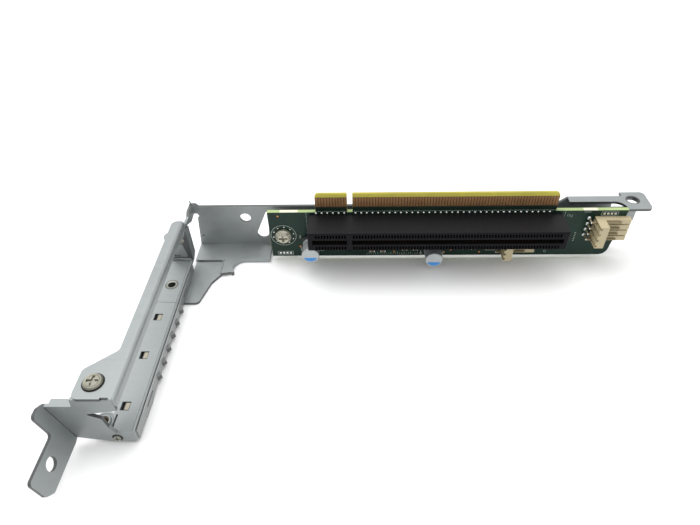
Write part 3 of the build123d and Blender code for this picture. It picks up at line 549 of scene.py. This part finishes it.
def finish_piece(obj, replaced=(), angle=35.0):
    """Smooths a piece, ties it to the part and hides the CAD nodes it takes the place of."""
    select_only(obj)
    bpy.ops.object.shade_smooth_by_angle(angle=math.radians(angle))
    bpy.ops.object.modifier_add(type="WEIGHTED_NORMAL")
    obj.modifiers[-1].keep_sharp = True
    obj.modifiers[-1].weight = 90
    bpy.ops.object.modifier_apply(modifier=obj.modifiers[-1].name)
    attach(obj, "root")
    if replaced:
        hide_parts(*replaced)
    obj.select_set(False)


def apply_bevel(obj, width, segments, angle):
    select_only(obj)
    bpy.ops.object.modifier_add(type="BEVEL")
    bevel = obj.modifiers[-1]
    bevel.width = width * MM
    bevel.segments = segments
    bevel.limit_method = "ANGLE"
    bevel.angle_limit = math.radians(angle)
    bevel.harden_normals = False
    bpy.ops.object.modifier_apply(modifier=bevel.name)


def refined(node, material, width=0.1, segments=2, angle=35.0, shape=None):
    """A rounded copy of a CAD node that takes its place; shape edits the copy before its rounding."""
    obj = add_object(node + "_look", nodes[node].data.copy())
    obj.data.materials.clear()
    obj.data.materials.append(material)
    edit(obj)
    bpy.ops.mesh.remove_doubles(threshold=0.002 * MM)
    bpy.ops.mesh.dissolve_limited(angle_limit=math.radians(0.6), delimit=set())
    bpy.ops.mesh.select_all(action="SELECT")
    bpy.ops.mesh.normals_make_consistent(inside=False)
    if shape:
        shape()
    bpy.ops.object.mode_set(mode="OBJECT")
    if width:
        apply_bevel(obj, width, segments, angle)
    finish_piece(obj, (node,), angle)
    return obj


def paint_faces(obj, material, test):
    """Gives material to the faces for which test(centre in mm, normal) is true."""
    obj.data.materials.append(material)
    index = len(obj.data.materials) - 1
    for face in obj.data.polygons:
        if test(face.center / MM, face.normal):
            face.material_index = index


def paint_sheared_and_shaded(obj, material, thickness=1.6):
    """Gives material to the faces behind which the solid is thicker than the sheet."""
    mesh = bmesh.new()
    mesh.from_mesh(obj.data)
    mesh.faces.ensure_lookup_table()
    tree = BVHTree.FromBMesh(mesh)
    thick = [0.0] * len(mesh.faces)
    for corners in mesh.calc_loop_triangles():
        face = corners[0].face
        a, b, c = (loop.vert.co for loop in corners)
        centre, area = (a + b + c) / 3, (b - a).cross(c - a).length
        hit = tree.ray_cast(centre - face.normal * 0.00002, -face.normal)
        deep = hit[0] is None or (hit[0] - centre).length > thickness * MM
        thick[face.index] += area if deep else -area
    mesh.free()
    obj.data.materials.append(material)
    index = len(obj.data.materials) - 1
    for face in obj.data.polygons:
        if thick[face.index] > 0:
            face.material_index = index


def middle_and_size(places):
    """Middle and size of the box round some places."""
    low = Vector([min(place[i] for place in places) for i in range(3)])
    high = Vector([max(place[i] for place in places) for i in range(3)])
    return (low + high) / 2, high - low


def middle_of(node):
    """Middle of a CAD node's box in mm."""
    return middle_and_size([vert.co / MM for vert in nodes[node].data.vertices])[0]


def solids(node):
    """Middle and size, in mm, of each loose solid in a CAD node, from left to right."""
    mesh = bmesh.new()
    mesh.from_mesh(nodes[node].data)
    bmesh.ops.remove_doubles(mesh, verts=mesh.verts, dist=0.002 * MM)
    seen, found = set(), []
    for first in mesh.verts:
        if first in seen:
            continue
        seen.add(first)
        waiting, places = [first], []
        while waiting:
            vert = waiting.pop()
            places.append(vert.co / MM)
            for edge in vert.link_edges:
                other = edge.other_vert(vert)
                if other not in seen:
                    seen.add(other)
                    waiting.append(other)
        found.append(middle_and_size(places))
    mesh.free()
    return sorted(found, key=lambda item: item[0].x)


def turned(name, profile, centre, axis, material, steps=32, capped=False):
    """A turned piece: a circle drawn out ring by ring along its axis.

    profile is (radius, distance along the axis) in mm from centre. A capped piece closes over its first
    and last rings, and any other one runs back to its first ring.
    """
    obj = start_piece(name)
    centre, axis = Vector(centre), Vector(axis)
    lie = Vector((0, 0, 1)).rotation_difference(axis).to_euler()
    radius, rise = profile[0]
    bpy.ops.mesh.primitive_circle_add(
        vertices=steps, radius=radius * MM, fill_type="NGON" if capped else "NOTHING", calc_uvs=False,
        location=(centre + axis * rise) * MM, rotation=lie,
    )
    for next_radius, next_rise in profile[1:] + ([] if capped else profile[:1]):
        step = axis * (next_rise - rise) * MM
        middle = (centre + axis * next_rise) * MM
        ratio = next_radius / radius
        bpy.ops.mesh.extrude_edges_move(TRANSFORM_OT_translate={"value": step})
        bpy.ops.transform.resize(value=(ratio, ratio, ratio), center_override=middle)
        radius, rise = next_radius, next_rise
    if capped:
        bpy.ops.mesh.edge_face_add()
    bpy.ops.mesh.select_all(action="SELECT")
    bpy.ops.mesh.remove_doubles(threshold=0.001 * MM)
    return close_piece(obj, material)


def bead(name, points, radius, material):
    """A round bead along points in mm, made as a curve and turned into a mesh."""
    curve = bpy.data.curves.new(name, "CURVE")
    curve.dimensions = "3D"
    spline = curve.splines.new("POLY")
    spline.points.add(len(points) - 1)
    for target, point in zip(spline.points, points):
        target.co = (*(Vector(point) * MM), 1.0)
    curve.bevel_depth = radius * MM
    curve.bevel_resolution = 1
    curve.use_fill_caps = True
    select_only(add_object(name, curve))
    bpy.ops.object.convert(target="MESH")
    obj = bpy.context.view_layer.objects.active
    obj.data.materials.clear()
    obj.data.materials.append(material)
    finish_piece(obj, (), 60.0)


# Places on the sheets, in mm
floor_top = -13.0
face_front = -76.5
face_right = -58.4
rail_right = -59.25
rail_top = 3.86
skirt_right = -58.43
gusset_top = -16.4
step_front = -1.35
lug_hole = (-68.0, -72.8, floor_top)
far_tab_hole = (101.0, 6.5, 4.3)
clip_places = (-67.7, -49.4, -33.5)
bend = 0.85
up, forward = (0, 0, 1), (0, -1, 0)

tab_screw = middle_of("tab_screw")
clinch_nut = middle_of("clinch_nut")
end_rivet = middle_of("end_rivet")
corner_rivet = middle_of("corner_rivet")
board_screw = middle_of("board_screw")


# Folded sheets
def near(value, target, reach=0.05):
    """Whether a place in mm lies at a level."""
    return abs(value - target) < reach


def pick_and_round(test):
    """Bends the edges between the vertices for which test is true."""
    pick(test)
    bpy.ops.mesh.bevel(offset=bend * MM, segments=4, profile=0.5, affect="EDGES", clamp_overlap=True)


def round_face_foot():
    """Bends the foot of the window face: its upper edge and its outer corner."""
    pick_and_round(lambda place: near(place.z, floor_top) and near(place.y, face_front))
    pick_and_round(lambda place: near(place.x, face_right) and place.y < face_front + 0.2)


def is_pressed_step(centre):
    return centre.z < -16.3 and near(centre.y, -1.3, 0.3)


bracket = refined("main_bracket", steel, 0.12, 2, 40.0)
# Cut edges of the sheets get the dark edge steel: raw sheared steel, darkened further as painted shade.
paint_sheared_and_shaded(bracket, sheared_edge_and_shade)
paint_faces(bracket, steel, lambda c, n: c.y < -76.0 and c.x > -60.2 or is_pressed_step(c))
frame_look = refined("window_frame", steel, 0.12, 2, 40.0)
paint_sheared_and_shaded(frame_look, sheared_edge_and_shade)
face_look = refined("window_face", steel, 0.12, 2, 40.0, round_face_foot)
paint_sheared_and_shaded(face_look, sheared_edge_and_shade)
paint_faces(face_look, steel, lambda c, n: c.x > -71.0 and c.z < floor_top + 1.0 and n.z > -0.5)
strip_look = refined("contact_strip", spring_steel, 0.05, 2, 40.0)
paint_faces(strip_look, clip_face, lambda c, n: c.x < -62.0 and c.z > -14.2)
# The strip's wedges get dark edge steel on their faces towards -y: painted shade.
paint_faces(strip_look, sheared_edge_and_shade, lambda c, n: c.x > -58.1 and n.y < -0.25)

# Pressed lips and lines of the sheets, and dark beads of painted shade along the ear's fold and the strip's
# gap
bead("plate_corner_nib", [(-59.0, 8.5, 2.2), (-59.1, 8.5, 3.0), (-59.2, 8.5, 3.8)], 0.27, steel)
bead("rail_press_line", [(rail_right, y, rail_top) for y in (-4.4, -40.0, -76.6)], 0.2, steel)
# A dark bead along the ear's fold: painted shade in the crease.
ear_fold = [(-78.45, -0.6), (-76.7, -7.8), (-75.0, -14.6)]
bead("ear_fold_shade_line", [(x, face_front - 0.02, z) for x, z in ear_fold], 0.13, sheared_edge_and_shade)
# A black bead in the gap between strip and skirt: painted shade.
strip_gap = [(skirt_right - 0.01, y, floor_top - 0.33) for y in (-12.5, -75.2)]
bead("strip_gap_shade_line", strip_gap, 0.1, black_painted_shade)
step_line = [(-58.0, step_front), (-49.0, step_front), (-48.4, -1.6), (-48.1, -2.3), (-48.0, -8.6)]
bead("gusset_press_line", [(x, y, gusset_top - 0.1) for x, y in step_line], 0.34, steel)
bead("floor_press_line", [(-66.0, -26.5, floor_top), (-58.9, -26.9, floor_top)], 0.1, steel)
far_fold = [(-66.0, -5.2, -12.85), (-63.5, -4.9, -12.5), (-61.5, -5.1, -12.6), (-58.9, -5.0, -12.9)]
bead("far_wall_fold", far_fold, 0.42, steel)


# Fasteners
def draw_in_head():
    """Draws in the tab screw's rim, which leaves a gap round it over the black ring of painted shade."""
    pick(lambda place: math.hypot(place.x - tab_screw.x, place.y - tab_screw.y) > 2.2)
    bpy.ops.transform.resize(value=(0.8, 0.8, 1.0), center_override=tab_screw * MM)


refined("board_screw", bright_screw, 0.12, 2, 30.0)
refined("board_standoff", zinc_turned, 0.1, 2, 30.0)
refined("tab_screw", plated_screw, 0.1, 2, 30.0, draw_in_head)
refined("clinch_nut", zinc_turned, 0.1, 2, 30.0)
refined("end_rivet", zinc_turned, 0.1, 2, 30.0)
refined("corner_rivet", zinc_turned, 0.06, 2, 30.0)

thread_turns = [(1.12 + 0.1 * (i % 2), -2.2 + 0.2 * i) for i in range(13)]
nut_mouth = (clinch_nut.x, clinch_nut.y, floor_top)
corner_head = (corner_rivet.x, face_front, corner_rivet.z)
# The gap and rim rings in black or dark edge steel are painted shade round the nut, screws, rivets and tab
# hole.
turned_rings = [
    ("lug_collar", lug_hole, up, steel, "steel",
     [(1.36, -0.05), (1.36, 0.5), (1.5, 0.62), (1.8, 0.62), (2.0, 0.45), (2.15, -0.05)]),
    ("lug_step", lug_hole, up, steel, "steel",
     [(2.5, -0.02), (2.5, 0.1), (2.6, 0.15), (2.75, 0.1), (2.75, -0.02)]),
    ("nut_lead_in", nut_mouth, up, zinc_turned, "zinc",
     [(1.31, 0.0), (1.31, 0.02), (1.6, 0.12), (1.95, 0.12), (2.05, 0.0)]),
    ("nut_gap_painted_shade", nut_mouth, up, sheared_edge_and_shade, "zinc",
     [(2.05, -0.02), (2.05, 0.03), (2.3, 0.03), (2.3, -0.02)]),
    ("tab_screw_boss", (tab_screw.x, tab_screw.y, 4.88), up, plated_screw, "screw",
     [(1.75, 0.0), (1.75, 0.06), (1.85, 0.12), (2.0, 0.12), (2.1, 0.0)]),
    ("tab_screw_painted_shade", (tab_screw.x, tab_screw.y, 4.0), up, black_painted_shade, "screw",
     [(2.6, 0.0), (2.6, 0.04), (3.0, 0.04), (3.0, 0.0)]),
    ("end_rivet_shade_rim", (end_rivet.x, -4.52, end_rivet.z), forward, sheared_edge_and_shade, "zinc",
     [(1.5, 0.0), (1.5, 0.12), (1.65, 0.18), (1.8, 0.0)]),
    ("corner_rivet_painted_shade", corner_head, forward, black_painted_shade, "zinc",
     [(1.04, 0.0), (1.04, 0.05), (1.5, 0.03), (1.5, 0.0)]),
    ("tab_hole_shade_rim", far_tab_hole, up, sheared_edge_and_shade, "steel",
     [(2.07, 0.0), (2.07, 0.03), (2.45, 0.03), (2.5, 0.0)]),
    # The thread inside the lug hole, dark brown as painted shade.
    ("lug_thread", lug_hole, up, pin_in_shade, "steel",
     [(1.34, -2.4), (1.12, -2.3)] + thread_turns + [(1.34, 0.42)]),
]
for name, centre, axis, material, slot_name, profile in turned_rings:
    finish_piece(turned(name, profile, centre, axis, material))

# Clips of the strip in the square holes: bent ends whose dropped part is dark as painted shade, and below
# them the clip's leaf, black as painted shade
clip_ends = start_piece("strip_clip_ends")
for y in clip_places:
    place = Vector((-63.1, y, -13.22)) * MM
    bpy.ops.mesh.primitive_plane_add(size=MM, calc_uvs=False, location=place)
    bpy.ops.transform.resize(value=(1.3, 2.4, 1.0), center_override=place)
pick(lambda place: place.x < -63.5)
for drop in ((-0.3, 0, -0.2), (-0.6, 0, -1.7)):
    bpy.ops.mesh.extrude_edges_move(TRANSFORM_OT_translate={"value": Vector(drop) * MM})
close_piece(clip_ends, clip_face)
bpy.ops.object.modifier_add(type="SOLIDIFY")
clip_ends.modifiers[-1].thickness = 0.25 * MM
clip_ends.modifiers[-1].offset = 0.0
bpy.ops.object.modifier_apply(modifier=clip_ends.modifiers[-1].name)
apply_bevel(clip_ends, 0.1, 2, 30.0)
# The clip ends' dropped part gets dark edge steel: painted shade.
paint_faces(clip_ends, sheared_edge_and_shade, lambda c, n: c.x < -63.5)
finish_piece(clip_ends)
leaves = start_piece("strip_clip_leaves_shaded")
for y in clip_places:
    add_block((-66.0, y - 2.2, -14.62), (-61.6, y + 2.2, -14.5))
finish_piece(close_piece(leaves, black_painted_shade))
shade = start_piece("strip_slot_shade")
for y, length in ((-20.2, 4.8), (-63.8, 5.8)):
    add_block((skirt_right, y - length / 2, -15.35), (skirt_right + 0.06, y + length / 2, -14.75))
finish_piece(close_piece(shade, black_painted_shade))

# Staked head of the corner rivet: bumps lighter than the rivet as a painted highlight, and a black cross of
# painted shade
stakes = start_piece("corner_rivet_stakes_highlit")
for i in range(4):
    turn = math.pi / 4 + i * math.pi / 2
    x, z = corner_rivet.x + 0.72 * math.cos(turn), corner_rivet.z + 0.72 * math.sin(turn)
    add_ball((x, -76.95, z), 0.3, 0.22, 8, 4)
finish_piece(close_piece(stakes, bright_screw))
cross = start_piece("corner_rivet_cross_shade")
for half_x, half_z in ((0.85, 0.16), (0.16, 0.7)):
    add_block((corner_rivet.x - half_x, -77.0, corner_rivet.z - half_z),
              (corner_rivet.x + half_x, -76.93, corner_rivet.z + half_z))
finish_piece(close_piece(cross, black_painted_shade))

# Board, in mm
board_back = 1.57
print_thickness = 0.02
cream_stretches = ((-25.0, -18.5), (81.8, 86.8))
tongue_stretches = ((-12.1, -0.98), (0.98, 72.1))


def split_shoulders():
    """Cuts the board's faces where the cream stretches of its shoulders begin and end."""
    for stretch in cream_stretches:
        for x in stretch:
            cut_at((x, 0, 0), (1, 0, 0))


def is_cream(centre, normal):
    return normal.z > 0.7 and near(centre.z, 4.7, 0.3) and any(a < centre.x < b for a, b in cream_stretches)


board = refined("riser_board", mask_green, 0.06, 1, 40.0, split_shoulders)
paint_faces(board, edge_green, lambda c, n: abs(n.y) < 0.75)
paint_faces(board, edge_yellow, lambda c, n: abs(n.y) < 0.97 and c.z > 4.9)
paint_faces(board, edge_cream, is_cream)

for node, material in (("edge_fingers_front", gold_finger), ("edge_fingers_back", gold_finger),
                       ("slot_contacts_upper", slot_contact), ("slot_contacts_lower", slot_contact)):
    nodes[node].data.materials.clear()
    nodes[node].data.materials.append(material)

# Bare ground between the fingers on both faces, and the mask below them darkened as painted shade
ground = start_piece("finger_ground_strips")
for left, right in tongue_stretches:
    add_block((left, -0.012, 6.9), (right, 0.0, 10.95))
    add_block((left, board_back, 6.9), (right, board_back + 0.012, 10.95))
finish_piece(close_piece(ground, finger_ground))
below = start_piece("mask_shade_below_fingers")
for left, right in tongue_stretches:
    add_block((left, -0.01, 4.0), (right, 0.0, 6.9))
finish_piece(close_piece(below, mask_painted_shade))

# Printed outlines, rings, dashes and frames
cans = [middle_of("capacitor_can_left"), middle_of("capacitor_can_right")]
pad_rows = ((-24.5, -14.2), (91.2, 3.2))
test_rings = ((76.9, 2.6), (78.0, 2.3), (77.8, -5.2), (79.0, -9.6), (72.0, -14.0), (68.0, -14.2),
              (60.0, -14.4))
outlines = start_piece("printed_outlines")
add_outline(ring_points(board_screw.x, board_screw.z, 4.6, 48), 0.16, closed=True)
for x, z in pad_rows:
    left, right, foot, head = x - 2.9, x + 2.9, z - 0.75, z + 0.75
    add_outline([(left, foot), (right, foot), (right, head), (left, head)], 0.12, closed=True)
for i in range(129):
    x = -15.4 + i * 0.7
    add_stroke((x, 4.95 + 0.14 * (i % 2)), (x + 0.42, 4.95 + 0.14 * ((i + 1) % 2)), 0.13)
for i in range(17):
    add_stroke((-15.6, 4.6 - i * 0.75), (-15.6, 4.25 - i * 0.75), 0.13)
    add_stroke((75.6, 4.6 - i * 0.55), (75.6, 4.35 - i * 0.55), 0.13)
for can in cans:
    for side in (-4.1, 4.1):
        add_outline([(can.x + side, can.z - 2.0), (can.x + side, can.z - 4.0),
                     (can.x + side * 0.634, can.z - 4.0)], 0.22)
        add_stroke((can.x + side, can.z + 2.0), (can.x + side, can.z + 3.4), 0.22)
for i in range(6):
    add_stroke((81.0 + 0.12 * (i % 2), -5.2 - i * 0.75), (81.5, -5.35 - i * 0.75), 0.16)
add_stroke((82.2, 4.0), (84.6, 4.0), 0.14)
add_outline([(50.0, -5.0), (50.0, -13.4), (54.6, -13.4)], 0.14)
for x, z in test_rings:
    add_outline(ring_points(x, z, 0.42, 10), 0.12, closed=True)
finish_piece(close_piece(outlines, white_mark))

# Solder dots round the board screw, vias, short scale ticks, and joints in place of the plain tails
dots = start_piece("screw_land_dots")
for x, z in ring_points(board_screw.x, board_screw.z, 3.75, 10, start=0.2):
    add_ball((x, 0.0, z), 0.27, 0.08, 8, 4)
cut_at((0, 0, 0), (0, 1, 0), clear_outer=True)
finish_piece(close_piece(dots, tinned_pin))
vias = start_piece("copper_vias")
for x, z in ((-25.8, 3.0), (-18.7, -11.1), (89.6, -11.4), (3.4, -10.4), (16.2, -13.9), (34.8, -14.4),
             (37.2, -13.2), (47.9, -14.3)):
    add_ball((x, 0.0, z), 0.38, 0.05)
cut_at((0, 0, 0), (0, 1, 0), clear_outer=True)
finish_piece(close_piece(vias, copper_via))
ticks = start_piece("scale_ticks")
for i in range(26):
    x = 6.0 + i * 0.82
    add_stroke((x, -15.0), (x, -14.55 + 0.25 * ((i * 7) % 3)), 0.12)
finish_piece(close_piece(ticks, white_mark))
tails = start_piece("slot_solder_joints")
for middle, size in solids("slot_tails"):
    add_ball((middle.x, 0.0, middle.z), 0.4, 0.34)
cut_at((0, 0, 0), (0, 1, 0), clear_outer=True)
finish_piece(close_piece(tails, solder), ("slot_tails",), 60.0)

# Pads and chips
refined("test_pads", solder, 0.0)
refined("chip_parts", chip_body, 0.05, 1, 30.0)
ends = start_piece("chip_end_caps")
for middle, size in solids("chip_parts"):
    front = middle.y - size.y / 2 - 0.02
    foot, head = middle.z - size.z / 2 - 0.03, middle.z + size.z / 2 + 0.03
    for edge in (middle.x - size.x / 2, middle.x + size.x / 2):
        add_block((edge - 0.17, front, foot), (edge + 0.17, 0.0, head))
close_piece(ends, solder)
apply_bevel(ends, 0.05, 1, 30.0)
finish_piece(ends)

# Slot
slot_body = refined("slot_housing", slot_plastic, 0.07, 1, 40.0)
# The slot's side and front faces get the darker plastic: painted shade.
paint_faces(slot_body, slot_painted_shade, lambda c, n: c.y < -1.0 and abs(n.z) < 0.9 or c.y < -11.2)
lines = start_piece("slot_moulded_lines")
for low, high in ((3.7, 3.79), (-3.79, -3.7)):
    add_block((-0.9, -11.1, low), (0.9, -0.2, high))
for x in (-14.45, 74.45):
    add_block((x - 0.05, -10.6, -2.6), (x + 0.05, -0.4, 2.6))
close_piece(lines, slot_plastic)
apply_bevel(lines, 0.04, 1, 30.0)
finish_piece(lines)

# Capacitors: a base with leads, a can with a pressed-in neck, and a blue segment on its top
can_profile = [
    (3.0, 0.95), (3.15, 1.15), (3.15, 1.75), (3.05, 1.95), (2.86, 2.1), (2.82, 2.25), (2.86, 2.4),
    (3.05, 2.55), (3.15, 2.75), (3.15, 7.2), (3.12, 7.42), (3.02, 7.58), (2.86, 7.67), (2.7, 7.7),
    (2.62, 7.69), (2.55, 7.64),
]
for side, can in zip(("left", "right"), cans):
    foot, mark_place = (can.x, 0.0, can.z), Vector((can.x, -7.655, can.z)) * MM
    refined("capacitor_base_" + side, base_plastic, 0.1, 2, 30.0)
    refined("capacitor_leads_" + side, solder, 0.06, 1, 30.0)
    body = turned("capacitor_body_" + side, can_profile, foot, forward, can_metal, 48, capped=True)
    paint_faces(body, can_top, lambda c, n: c.y < -7.5)
    finish_piece(body, ("capacitor_can_" + side,), 40.0)
    mark = start_piece("capacitor_mark_" + side)
    bpy.ops.mesh.primitive_circle_add(
        vertices=40, radius=2.58 * MM, fill_type="NGON", calc_uvs=False, location=mark_place,
        rotation=(math.pi / 2, 0, 0),
    )
    cut_at((can.x, 0, can.z - 0.88), (0, 0, 1), clear_outer=True)
    bpy.ops.mesh.select_all(action="SELECT")
    bpy.ops.mesh.extrude_region_move(TRANSFORM_OT_translate={"value": (0, 0.025 * MM, 0)})
    finish_piece(close_piece(mark, can_print))

# Pin headers: housings, bent pins and their joints on both faces of the board
for name, shade_from_x in (("power", 86.8), ("fan", 55.6)):
    refined(name + "_header_housing", nylon, 0.1, 2, 30.0)
    pins = refined(name + "_header_pins", tinned_pin, 0.06, 1, 30.0)
    # Pins beyond the housing's block get the darker nylon: painted shade between the fins.
    paint_faces(pins, nylon_shade, lambda c, n: c.x > shade_from_x)
    joints = start_piece(name + "_header_joints")
    for middle, size in solids(name + "_header_pins"):
        add_ball((middle.x - size.x / 2 + 0.3, board_back / 2 - 0.02, middle.z), 0.9, 1.31, 12, 10)
    finish_piece(close_piece(joints, solder))

# Floor
floor_material = bpy.data.materials.new("pale_floor")
floor_material.use_nodes = True
floor_shader = floor_material.node_tree.nodes["Principled BSDF"]
floor_shader.inputs["Base Color"].default_value = (0.97, 0.97, 0.97, 1)
floor_shader.inputs["Roughness"].default_value = 0.9
floor_shader.inputs["Specular IOR Level"].default_value = 0.1
floor = start_piece("floor")
bpy.ops.mesh.primitive_plane_add(size=16.0, calc_uvs=False, location=(0, 0, TABLE - 0.02 * MM))
bpy.ops.object.mode_set(mode="OBJECT")
floor.data.materials.append(floor_material)

# Light
world = bpy.data.worlds.new("soft_studio")
bpy.context.scene.world = world
world.use_nodes = True
tree = world.node_tree
background = tree.nodes["Background"]
coords = tree.nodes.new("ShaderNodeTexCoord")
split = tree.nodes.new("ShaderNodeSeparateXYZ")
tree.links.new(coords.outputs["Generated"], split.inputs[0])
height = span(tree, split.outputs["Z"], 0.0, 0.8, 0.5, 1.4)
back = span(tree, split.outputs["Y"], -0.5, 0.8, 0.9, 1.12)
tree.links.new(maths(tree, "MULTIPLY", height, back), background.inputs["Strength"])
background.inputs["Color"].default_value = (1.0, 1.0, 1.0, 1)

lamp_data = bpy.data.lights.new("overhead_softbox", "AREA")
lamp_data.shape = "RECTANGLE"
lamp_data.size = 0.5
lamp_data.size_y = 0.35
lamp_data.energy = 1.6
lamp = bpy.data.objects.new("overhead_softbox", lamp_data)
lamp.location = (-0.12, 0.16, 0.62)
lamp.rotation_euler = (math.radians(-16), math.radians(-10), 0)
bpy.context.scene.collection.objects.link(lamp)
bpy.context.scene.view_settings.view_transform = "Standard"
